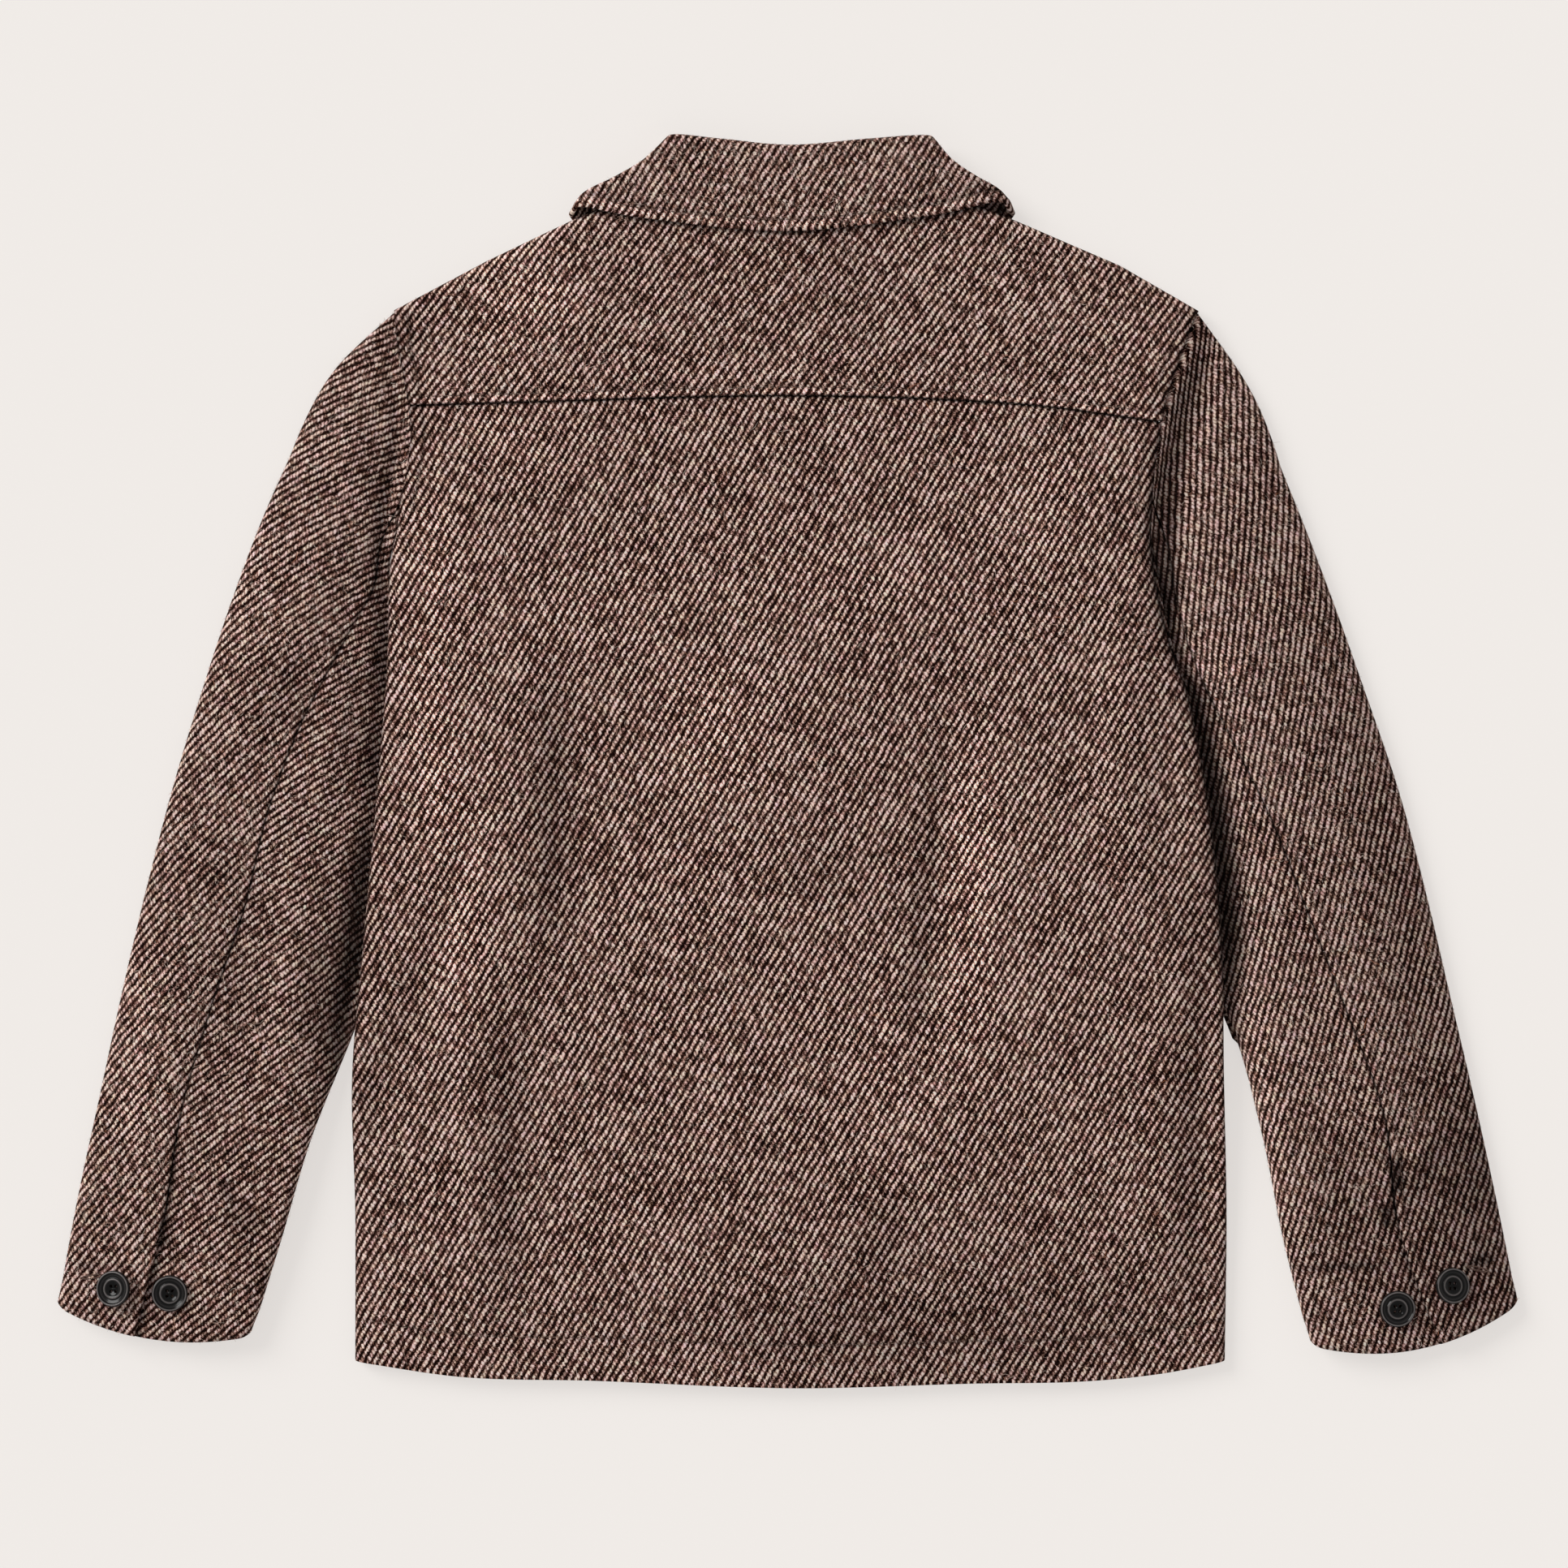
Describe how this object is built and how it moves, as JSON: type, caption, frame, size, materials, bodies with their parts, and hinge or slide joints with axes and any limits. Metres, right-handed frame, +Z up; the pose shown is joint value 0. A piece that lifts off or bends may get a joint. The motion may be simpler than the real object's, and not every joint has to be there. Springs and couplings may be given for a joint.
{
  "type": "wool jacket",
  "caption": "Short wool twill jacket with a turn-down collar, back yoke and buttoned cuffs, laid flat face down with its back upwards.",
  "frame": {"origin": "middle of the jacket's outline, on the surface that it lies on", "axes": "+Z up from the surface towards the jacket's back, +Y towards the collar, +X towards the right sleeve"},
  "size_m": [0.9186, 0.7881, 0.025],
  "materials": {
    "wool": "matt, fuzzy twill",
    "collar_wool": "matt, fuzzy twill",
    "button": "glossy"
  },
  "bodies": {
    "root": {"back": "wool", "back_yoke": "wool", "left_front": "wool", "right_front": "wool", "left_top_sleeve": "wool", "left_under_sleeve": "wool", "right_top_sleeve": "wool", "right_under_sleeve": "wool", "collar_fall": "collar_wool", "collar_stand": "collar_wool", "left_cuff_button_outer": "button", "left_cuff_button_inner": "button", "right_cuff_button_inner": "button", "right_cuff_button_outer": "button", "front_button_1": "button", "front_button_2": "button", "front_button_3": "button", "front_button_4": "button", "front_button_5": "button"}
  },
  "joints": []
}
